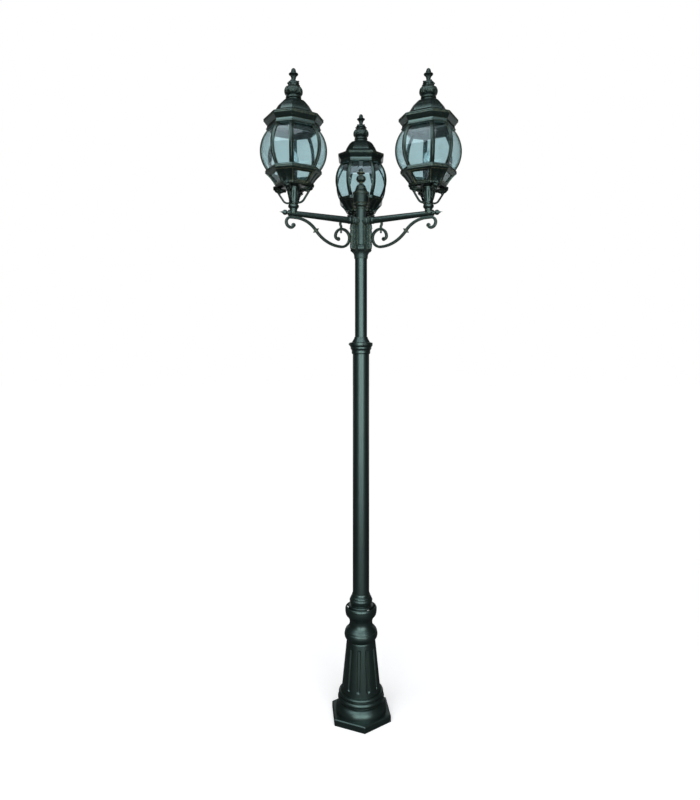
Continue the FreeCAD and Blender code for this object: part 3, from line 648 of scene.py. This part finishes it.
def post_cap_form():
    """Bell and ball with soft lobes, and a pointed bud."""
    profile = [(16, -0.6), (30.4, -0.6), (30.4, 3.6), (28, 5), (20.2, 16.5, 23.0, 9.6), (20.2, 18),
               (18.2, 19.5), (9, 34, 15.8, 27.5), (6.3, 36), (6.3, 38), (8.5, 39.5), (7.2, 41),
               (17.4, 54, 14.2, 44.5), (7, 66, 14, 62.5), (7, 69), (12, 71.5), (14.5, 73.5), (14.5, 75.5),
               (8, 78), (8.2, 83), (0.3, 93, 5.0, 89.5)]
    lobes = gadrooned((8, 1.0, 19, 35), (8, 1.4, 43, 65))
    return moved(lathe(outline(profile, 0.6), 160, False, lobes), z=CAP_SLEEVE_Z[1])


# -------- lantern, about its own axis

BARREL_ENDS = list(zip(BARREL_R, BARREL_Z))
BARREL = [BARREL_ENDS[0]] + arc(*BARREL_ENDS, 60)
BASKET = [(60, PLATE_Z[0]), (63, PLATE_Z[1]), (69, 1896), (79, 1909), (90, BASKET_TOP_Z)]


def radius_at(profile, z):
    """Corner radius of the barrel or the basket at a height."""
    return float(np.interp(z, [spot[1] for spot in profile], [spot[0] for spot in profile]))


def rib_form():
    """Folded rib over the corner at +WIDE_HALF: two wings along the sides and a ridge between them."""
    wide, narrow = radians(WIDE_HALF), radians(NARROW_HALF)
    to_wide = np.array((-sin(wide), -cos(wide)))
    to_narrow = np.array((-sin(narrow), cos(narrow)))
    out = np.array((1.0, 0.0))
    back = out * RIB_THICK
    section = [to_wide * RIB_WING, to_wide * 2.6 + out * 0.1, to_wide * 1.4 + out * 1.1,
               to_narrow * 1.4 + out * 1.1, to_narrow * 2.6 + out * 0.1, to_narrow * RIB_WING,
               to_narrow * RIB_WING - back * 0.9, -back, to_wide * RIB_WING - back * 0.9]
    rings = []
    for z in np.linspace(BARREL_Z[0] - 2, BARREL_Z[2] + 2, 40):
        corner = out * radius_at(BARREL, z)
        rings.append(at_height(eased([corner + spot for spot in section], 0.5, 2, True), z))
    return spun(skin(rings), WIDE_HALF)


def ribs_form():
    one = rib_form()
    return joined(*[spun(form, 90 * k) for k in range(4) for form in (one, mirrored(one))])


def cage_rings_form():
    """The moulded octagonal rings below and above the ribs."""
    lower = [(84.5, 0), (92, 0), (97, 4.5), (97, 7), (95.6, 8), (97, 9), (97, 12), (94, 17), (84.5, 17)]
    upper = [(82, 0), (90, 0), (94, 3), (94, 6), (91.5, 8), (90.5, 16), (82, 16)]
    return joined(*[moved(octagon_form(outline(profile, 0.7, loop=True)), z=low)
                    for profile, low in ((lower, LOW_RING_Z[0]), (upper, TOP_RING_Z[0]))])


def pane_form(facing, half):
    """Curved pane behind the ribs, with a bevelled border on its outer face."""
    turn = radians(half)
    low, high = LOW_RING_Z[1] - 6, TOP_RING_Z[0] + 3
    border, slope, behind_ribs = 7.5, 0.9, 5.0
    rings = []
    for z in [low, *np.linspace(low + border, high - border, 26), high]:
        radius = radius_at(BARREL, z)
        face = radius * cos(turn) - RIB_THICK
        side = (radius - behind_ribs) * sin(turn) - PANE_GAP / cos(turn)
        across = [-side, -side + border, 0, side - border, side]
        middle = slope if z in (low, high) else 0
        front = [(face - drop, y, z) for y, drop in zip(across, (slope, middle, middle, middle, slope))]
        back = [(face - PANE_THICK, y, z) for y in reversed(across)]
        rings.append(np.array(front + back))
    return spun(skin(rings), facing)


def panes_form():
    sides = [(90 * k + turn, half) for k in range(4) for turn, half in ((0, WIDE_HALF), (45, NARROW_HALF))]
    return joined(*[pane_form(facing, half) for facing, half in sides])


def window_side():
    """Wide side of the basket facing +X: a frame round a window with round corners."""
    sine, cosine = sin(radians(WIDE_HALF)), cos(radians(WIDE_HALF))
    low, high = PLATE_Z[1] - 0.5, BASKET_TOP_Z
    middle, thick = 1903.5, 4.4
    opening = eased([(-18.5, 1890.5), (18.5, 1890.5), (30.5, 1915.5), (-30.5, 1915.5)], 7, 8, True)
    border = []
    for y, z in opening:
        edge = high if z > middle else low
        share = max((z - middle) / (edge - middle), abs(y) / (radius_at(BASKET, edge) * sine))
        z = middle + (z - middle) / share
        half = radius_at(BASKET, z) * sine
        border.append((min(max(y / share, -half), half), z))
    rings = []
    for line, inset in ((border, 0), (opening, 0), (opening, thick), (border, thick)):
        rings.append(np.array([((radius_at(BASKET, z) - inset) * cosine, y, z) for y, z in line]))
    return skin(rings, True)


def leaf_web():
    """Narrow side of the basket facing +X: a solid web with a raised vein and thick corners."""
    sine, cosine = sin(radians(NARROW_HALF)), cos(radians(NARROW_HALF))
    thick, across = 5, np.linspace(-1.12, 1.12, 25)
    raised = 1.5 * np.exp(-(across / 0.16) ** 2) + 1.8 * np.exp(-((np.abs(across) - 1.0) / 0.16) ** 2)
    rings = []
    for z in np.linspace(PLATE_Z[1] - 0.5, BASKET_TOP_Z, 14):
        outer = radius_at(BASKET, z)
        inner = outer - thick
        front = [(outer * cosine + lift, outer * sine * a, z) for a, lift in zip(across, raised)]
        back = [(inner * cosine, inner * sine * a, z) for a in reversed(across)]
        rings.append(np.array(front + back))
    return skin(rings)


def basket_form():
    low, high = PLATE_Z
    floor = [(10, low), (58, low), (61.5, low + 2), (61.5, low + 4.5), (63.5, low + 6), (63.5, high),
             (10, high)]
    sides = [form for k in range(4) for form in (spun(window_side(), 90 * k), spun(leaf_web(), 45 + 90 * k))]
    return joined(octagon_form(outline(floor, 0.8), False), *sides)


def lower_glass_form():
    """The basket's glazed liner."""
    outer = [(57.7, PLATE_Z[1]), (64.6, 1896), (74.6, 1909), (83.6, BASKET_TOP_Z)]
    inner = [(radius - LINER_THICK, z) for radius, z in reversed(outer)]
    return octagon_form(outer + inner)


def cup_form():
    """Turned neck with a lobed tulip above it."""
    tall = PLATE_Z[0] - SEAT_Z
    profile = [(6.1, 0), (12.5, 0), (13.4, 4), (18.3, 10), (18.3, 16), (14.8, 19.5), (16.8, 22), (16.8, 25),
               (15.8, 27), (17.3, 41), (18.2, 59), (20, 69), (22.3, tall - 1), (22.3, tall), (6.1, tall)]
    form = lathe(outline(profile, 0.9, loop=True), 144, True, gadrooned((8, 2.2, 27, tall - 4)))
    return moved(form, z=SEAT_Z)


def stay_form():
    """One stay with its three-lobed leaf under the basket's floor, facing +X."""
    path, floor = bow((14.5, 1825.5), 0, [(0, 5), (22, 56), (0, 27)], 5), PLATE_Z[0]
    x, z = path[-1]
    forms = [sweep(path, box_section(6.4, 6.4, 1.8))]
    forms.append(leaf(bow((30, floor - 11), 8, [(90, 14), (24, 28), (5.5, -170)], 8), 25, 9, 3, 0.2))
    forms.append(leaf(bow((36, floor - 10), -26, [(30, 52), (6, 150)], 8), 22, 8, 2, 0.2))
    forms.append(leaf(bow((x - 1, z + 4), 88, [(13, 34), (5, 110)], 10), 17, 6, 2, 0.2))
    knob = lathe(outline([(0.2, -5), (4, -5), (6, -2.5), (6, 2.5), (4, 5), (0.2, 5)], 1.4), 32)
    forms.append(moved(lying_y(knob), x, 0, z + 5))
    forms.append(sweep([(x - 6, floor - 6), (x + 8, floor - 6)], box_section(9, 16, 1.5)))
    return joined(*forms)


def stays_form():
    one = stay_form()
    return joined(*[spun(one, 45 + 90 * k) for k in range(4)])


def lampholder_form():
    tall = HOLDER_TOP_Z - PLATE_Z[1]
    profile = [(0.3, 0), (17, 0), (17, 5), (13, 8), (13, 30), (12.2, 31), (12.2, 34), (13, 35),
               (13, tall - 1), (12, tall), (7.1, tall), (7.1, tall - 23), (0.3, tall - 23)]
    return moved(lathe(outline(profile, 0.5), 64), z=PLATE_Z[1])


def bulb_cap_form():
    """Screw cap with its rolled thread."""
    tall, pitch = 23, 3.6
    thread = [(6.35 + 0.45 * cos(2 * pi * z / pitch), z) for z in np.linspace(2, tall - 3, 40)]
    foot, head = [(0.3, -0.8), (3, -0.8), (3.2, 0)], [(6.9, tall - 1.5), (6.9, tall), (0.3, tall)]
    return moved(lathe(foot + thread + head, 48), z=HOLDER_TOP_Z + 2 - tall)


def bulb_form():
    """Candle-shaped glass with a wall, closed at its tip."""
    low = HOLDER_TOP_Z + 2.2
    tall = BULB_TOP_Z - low
    outer = outline([(6.6, 0), (7.2, 2), (17.3, 23, 14.4, 9), (7.3, tall - 12, 14.7, tall - 27),
                     (2.2, tall - 3, 4.2, tall - 7.5), (0.3, tall)], 0.4)
    inner = [(max(radius - BULB_WALL, 0.25), min(z, tall - 2 * BULB_WALL)) for radius, z in reversed(outer)]
    return moved(lathe(outer + inner, 64, True), z=low)


def filament_form():
    """Two lead wires and a coiled filament between them."""
    tall, wide, lead_r, wire_r = 30, 5.0, 0.35, 0.12
    coil_r, coil_turns = 0.7, 30
    leads = []
    for side in (-1, 1):
        path = [(side * 1.6, 0), (side * 1.8, 10), (side * 4.6, 24), (side * wide, tall)]
        leads.append(sweep(path, round_section(8), lead_r, lead_r))
    rings = []
    for t in np.linspace(0, 1, 241):
        centre = np.array((2 * wide * t - wide, 0, tall + 3.0 * sin(pi * t)))
        turn = 2 * pi * coil_turns * t
        wire = centre + coil_r * np.array((0, cos(turn), sin(turn)))
        rings.append(np.array([wire + wire_r * np.array((cos(u), 0, sin(u))) for u in (0, 2.1, 4.2)]))
    return moved(joined(*leads, skin(rings)), z=HOLDER_TOP_Z + 3)


def stem_form():
    """The glass stem that carries the lead wires."""
    profile = [(0.3, 0), (4.6, 0), (3.4, 5), (2.2, 9), (1.6, 14), (0.3, 15)]
    return moved(lathe(outline(profile, 0.8), 32), z=HOLDER_TOP_Z + 2.4)


def bridge_form():
    """Flat bar across the cage's head, with the long stud and its nut."""
    reach, thick = 82 * cos(radians(WIDE_HALF)), 3
    low, high = BRIDGE_Z - thick / 2, BRIDGE_Z + thick / 2
    bar = sweep([(-reach, BRIDGE_Z), (reach, BRIDGE_Z)], box_section(14, thick, 0.8))
    stud = lathe(outline([(0.3, low), (3, low), (3, STUD_TOP_Z), (0.3, STUD_TOP_Z)], 0.5), 32)
    nut = lathe([(0.3, high), (5.6, high), (5.6, high + 5), (0.3, high + 5)], 6)
    return joined(bar, stud, nut)


def roof_form():
    """Octagonal roof: a lip with a groove, a sloping shelf and a domed top, hollow below."""
    low, tall = TOP_RING_Z[1], ROOF_TOP_Z - TOP_RING_Z[1]
    outer = outline([(90, 0), (94, 4), (101, 13.8), (102.7, 14.4), (102.7, 17.2), (100.6, 18.3),
                     (102.7, 19.4), (102.7, 22.6), (100, 24.2), (72, 37), (70, 39), (57, 63, 64.5, 51),
                     (45, 77.5, 51, 72), (39, 81.5, 42.5, 80), (28, tall - 0.6), (27, tall)], 0.7)
    inner = outline([(4, tall), (4, tall - 5), (26, tall - 6), (51, 63, 40, 73), (65, 37, 60, 51), (94, 17),
                     (84, 5), (84, 0)], 1.0)
    return moved(octagon_form(outer + inner), z=low)


def leaf_relief(turns, radius, z):
    """Two tiers of pointed leaves that wrap the crown's ball; z is over the crown's foot."""
    lift = np.zeros(len(turns))
    for count, turn, low, high, height in ((6, 0, 17, 49, 2.6), (6, 30, 23, 54, 1.7)):
        if not low < z < high:
            continue
        part = (z - low) / (high - low)
        half = radians(180 / count) * (1 - part ** 2.2) * (1 + 0.13 * cos(2 * pi * 3 * part))
        off = off_centre(turns, count, turn)
        body = np.clip((half - off) / 0.06, 0, 1)
        vein = 0.45 * np.exp(-(off / 0.035) ** 2) - 0.25 * np.cos(off * 42) ** 2
        lift = np.maximum(lift, height * body * (0.75 + vein) * min(1, 5 * part, 6 * (1 - part) + 0.3))
    return radius + lift


def crown_form():
    """Neck mouldings and the leafed ball."""
    profile = [(3.5, 0), (24, 0), (24, 4), (22.6, 5.5), (26.6, 8, 24, 6.2), (26.6, 12.5), (21.5, 15.5),
               (22.5, 17), (18.6, 50, 29.8, 30.5), (17.2, 53), (19.5, 57), (19.5, 62), (15, 66.5),
               (3.5, 66.5)]
    return moved(lathe(outline(profile, 0.8, 26), 192, False, leaf_relief), z=ROOF_TOP_Z)


def crown_leaves_form():
    """Upright leaves with flared tips round the crown's top, four tall and four short."""
    tall = leaf(bow((14.0, CROWN_TOP_Z - 21), 84, [(0, 13), (6, -80)], 10), 17, 5.0, 1, 0.3)
    short = leaf(bow((15.5, CROWN_TOP_Z - 26), 78, [(0, 11), (5, -90)], 10), 16, 4.6, 1, 0.3)
    return joined(*[spun(form, turn + 90 * k) for form, turn in ((tall, 45), (short, 0)) for k in range(4)])


def finial_form():
    """Flared stem, cup and pointed bud with soft lobes."""
    low = CROWN_TOP_Z - 2
    tall = TIP_Z - low
    profile = [(3.3, 0), (8.2, 0), (7.4, 5), (7.2, 8), (9.4, 17), (16.2, 24.5, 12.4, 21), (16.2, 27),
               (13, 28.5), (8.6, 30), (8.4, 38, 9.2, 34), (0.3, tall, 5.6, 44)]
    lobes = gadrooned((8, 1.5, 12, 26), (6, 1.0, 29, tall - 1))
    return moved(lathe(outline(profile, 0.6), 128, False, lobes), z=low)


# -------- assembly

def dress_post():
    """Everything that doesn't repeat with the lanterns."""
    vase_screws = screws_form(z=391.5, turn=305, face_r=46.0, radius=5.4, height=4.8)
    collar_screws = screws_form(z=1345, turn=283, face_r=42.2, radius=4.6, height=3.8)
    hub = joined(hub_core(), *[spun(hub_fin(), azimuth) for azimuth in ARM_AZIMUTH.values()])
    post, head = "lower_post", "mast_head"
    pieces = [
        ("foot_plinth", plinth_form(), BASE_PAINT, post, "base_foot"),
        ("foot_mouldings", mouldings_form(), BASE_PAINT, post, "base_foot"),
        ("fluted_column", column_form(), BASE_PAINT, post, "base_column"),
        ("vase_collar", base_collar_form(), BASE_PAINT, post, "base_collar"),
        ("vase_screws", vase_screws, ZINC, post, "base_screws"),
        ("lower_tube", tube_form(LOWER_MAST_R, *LOWER_MAST_Z), TUBE_PAINT, post, "lower_mast"),
        ("tube_collar", mast_collar_form(), BASE_PAINT, post, "mast_collar"),
        ("tube_collar_screws", collar_screws, DARK_ZINC, post, "collar_screws"),
        ("upper_tube", tube_form(UPPER_MAST_R, *UPPER_MAST_Z), TUBE_PAINT, head, "upper_mast"),
        ("hub_casting", hub, HUB_PAINT, head, "hub"),
        ("cap_sleeve", cap_sleeve_form(), CAP_PAINT, head, "cap_ring"),
        ("bell_cap", post_cap_form(), CAP_PAINT, "cap", "post_cap")]
    for entry in pieces:
        piece(*entry)


def lantern_pieces():
    """Name, form, material, body suffix and CAD node of every lantern piece."""
    return [
        ("tulip_cup", cup_form(), CASTING, "_lantern", "cup"),
        ("leaf_stays", stays_form(), TOP_PAINT, "_lantern", "foot_scrolls"),
        ("window_basket", basket_form(), PLATE_PAINT, "_lantern", "basket"),
        ("basket_glass", lower_glass_form(), PANE_GLASS, "_lantern", "lower_glass"),
        ("barrel_ribs", ribs_form(), RIB_PAINT, "_lantern", "cage"),
        ("cage_rings", cage_rings_form(), RING_PAINT, "_lantern", "cage"),
        ("curved_panes", panes_form(), PANE_GLASS, "_lantern", "panes"),
        ("stud_bridge", bridge_form(), DARK_ZINC, "_lantern", "bridge"),
        ("lamp_socket", lampholder_form(), HOLDER, "_lantern", "lampholder"),
        ("screw_cap", bulb_cap_form(), BRASS, "_lamp", "bulb_cap"),
        ("candle_bulb", bulb_form(), BULB_GLASS, "_lamp", "bulb"),
        ("filament", filament_form(), WIRE, "_lamp", None),
        ("glass_stem", stem_form(), BULB_GLASS, "_lamp", None),
        ("roof_shell", roof_form(), PLATE_PAINT, "_lid", "roof"),
        ("crown_ball", crown_form(), TOP_PAINT, "_lid", "crown"),
        ("crown_leaves", crown_leaves_form(), TOP_PAINT, "_lid", "crown"),
        ("bud_finial", finial_form(), BUD_PAINT, "_nut", "finial")]


def dress_lanterns():
    """Each side's arm, bracket and lantern."""
    arm, scroll, pieces = arm_form(), scroll_form(), lantern_pieces()
    for side, azimuth in ARM_AZIMUTH.items():
        piece(side + "_tapered_arm", spun(arm, azimuth), CASTING, "mast_head", side + "_arm")
        piece(side + "_scroll_bar", spun(scroll, azimuth), CASTING, "mast_head", side + "_scroll")
        for name, form, material, body, cad in pieces:
            nodes = [side + "_" + cad] if cad else []
            placed = moved(spun(form, LANTERN_TURN[side]), LANTERN_S)
            piece(side + "_" + name, spun(placed, azimuth), material, side + body, *nodes)


def dress_hidden():
    """Inner CAD nodes keep their own meshes and get a finish."""
    for name, material in (("anchor_plate", ZINC), ("mast_bush", BUSH), ("stop_bolt", ZINC)):
        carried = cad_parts[name]
        carried.data.materials.clear()
        carried.data.materials.append(material)


# -------- studio

FILL_LEVEL = 0.30                   # the world as it lights matt surfaces
SIDE_LEVEL, BACK_LEVEL = 0.02, 0.8  # the world in gloss: front and sides, and straight behind
BACKDROP_Y = (0.80, 0.98)           # the backdrop's edge, as the Y part of a direction
FLOOR_PALE, FLOOR_DARK = 0.80, 0.06 # as the eye sees the floor, and as it lights the object

# The floor's glow tops the lamps' light up to white: its strength far off, the drop where it is weakest,
# and the distance over which the drop fades.
GLOW_FAR, GLOW_DROP, GLOW_REACH = 0.79, 0.66, 2.65
GLOW_Y, GLOW_SQUASH = -1.2, 0.5     # the weakest place, and how much slower the glow grows along X
BEHIND_Y = (2.0, 7.0)               # where gloss starts to see the glow, and where it sees all of it

# The camera was fitted to the photo. Its shift is a share of the picture's longer side, in pixels here.
CAMERA_PLACE, CAMERA_LENS = (0, -2.182, 1.320), 27
SHIFT_RIGHT, SHIFT_UP, PICTURE_HEIGHT = -11, -49, 800


def eye_or_glass(tree):
    """1 for rays from the camera and rays through glass, 0 for the rest; and 1 for glossy rays."""
    path = node(tree, "LightPath").outputs
    rays = {0: path["Is Camera Ray"], 1: path["Is Transmission Ray"]}
    return node(tree, "Math", rays, operation="MAXIMUM").outputs[0], path["Is Glossy Ray"]


def studio_world():
    """White for the eye and through glass. Gloss shows the white backdrop behind and darker sides."""
    world = bpy.data.worlds.new("studio")
    bpy.context.scene.world = world
    world.use_nodes = True
    tree = world.node_tree
    seen, glossy = eye_or_glass(tree)
    toward = node(tree, "SeparateXYZ", {0: node(tree, "TexCoord").outputs["Generated"]}).outputs
    backdrop = ranged(tree, toward["Y"], *BACKDROP_Y, SIDE_LEVEL, BACK_LEVEL)
    level = node(tree, "Mix", {0: glossy, 2: FILL_LEVEL, 3: backdrop}, data_type="FLOAT").outputs[0]
    level = node(tree, "Mix", {0: seen, 2: level, 3: 1.0}, data_type="FLOAT").outputs[0]
    tree.links.new(level, tree.nodes["Background"].inputs["Strength"])
    tree.nodes["Background"].inputs["Color"].default_value = (1, 1, 1, 1)


def floor_glow(tree, seen, glossy):
    """Strength of the floor's glow for the eye and, far behind the post, for gloss."""
    place = node(tree, "TexCoord").outputs["Object"]
    depth = node(tree, "SeparateXYZ", {0: place}).outputs["Y"]
    behind = product(tree, glossy, ranged(tree, depth, *BEHIND_Y))
    level = node(tree, "Math", {0: seen, 1: behind}, operation="MAXIMUM").outputs[0]
    sockets = {0: place, 1: (GLOW_SQUASH, 1, 0), 2: (0, -GLOW_Y, 0)}
    away = node(tree, "VectorMath", sockets, operation="MULTIPLY_ADD").outputs[0]
    away = node(tree, "VectorMath", {0: away}, operation="LENGTH").outputs["Value"]
    fade = node(tree, "Math", {0: product(tree, away, -1 / GLOW_REACH)}, operation="EXPONENT").outputs[0]
    return product(tree, level, ranged(tree, fade, 0.0, 1.0, GLOW_FAR, GLOW_FAR - GLOW_DROP))


def studio_floor():
    """Floor: white to the eye, with a soft shadow, and dark to gloss in front."""
    made, tree, shader = new_material("floor_white", {"Roughness": 0.9, "Specular IOR Level": 0.0})
    seen, glossy = eye_or_glass(tree)
    pale, dark = [(level, level, level, 1) for level in (FLOOR_PALE, FLOOR_DARK)]
    coloured(tree, shader, mixed(tree, seen, dark, pale))
    glow = node(tree, "Emission", {"Strength": floor_glow(tree, seen, glossy)})
    both = node(tree, "AddShader", {0: shader.outputs[0], 1: glow.outputs[0]})
    tree.links.new(both.outputs[0], tree.nodes["Material Output"].inputs["Surface"])
    bpy.ops.mesh.primitive_plane_add(size=40, location=(0, 0, 0))
    floor = bpy.context.object
    floor.name = "studio_floor"
    floor.data.materials.append(made)


def lamp(name, place, target, size, power, tint=(1, 1, 1)):
    """Area lamp that the camera doesn't see; power is in watts."""
    light = bpy.data.lights.new(name, "AREA")
    light.shape = "RECTANGLE"
    light.size, light.size_y = size
    light.energy = power
    light.color = tint
    made = added(name, light)
    made.location = place
    made.rotation_euler = (Vector(target) - Vector(place)).to_track_quat("-Z", "Y").to_euler()
    made.visible_camera = False


def studio_lamps():
    """Two upright soft boxes in front, one high on the left and one high in front."""
    lamp("front_softbox_left", (-0.95, -3.2, 1.6), (-0.95, 0, 1.6), (1.40, 2.9), 53)
    lamp("front_softbox_right", (1.20, -3.2, 1.6), (1.20, 0, 1.6), (1.90, 2.9), 66)
    lamp("left_softbox", (-1.9, -1.9, 4.35), (0, 0, 2.0), (2.2, 3.0), 62, (0.93, 0.97, 1.0))
    lamp("high_softbox", (0.6, -1.7, 3.9), (0.1, -0.1, 2.0), (2.2, 1.6), 34, (0.90, 0.94, 1.0))


def studio_camera():
    """Level camera in front of the post; the shift frames it as in the photograph."""
    lens = bpy.data.cameras.new("camera")
    lens.lens = CAMERA_LENS
    lens.shift_x, lens.shift_y = SHIFT_RIGHT / PICTURE_HEIGHT, SHIFT_UP / PICTURE_HEIGHT
    made = added("camera", lens)
    made.location = CAMERA_PLACE
    made.rotation_euler = (radians(90), 0, 0)
    bpy.context.scene.camera = made


studio_camera()
dress_post()
dress_lanterns()
dress_hidden()
studio_world()
studio_floor()
studio_lamps()
bpy.context.scene.view_settings.view_transform = "Standard"
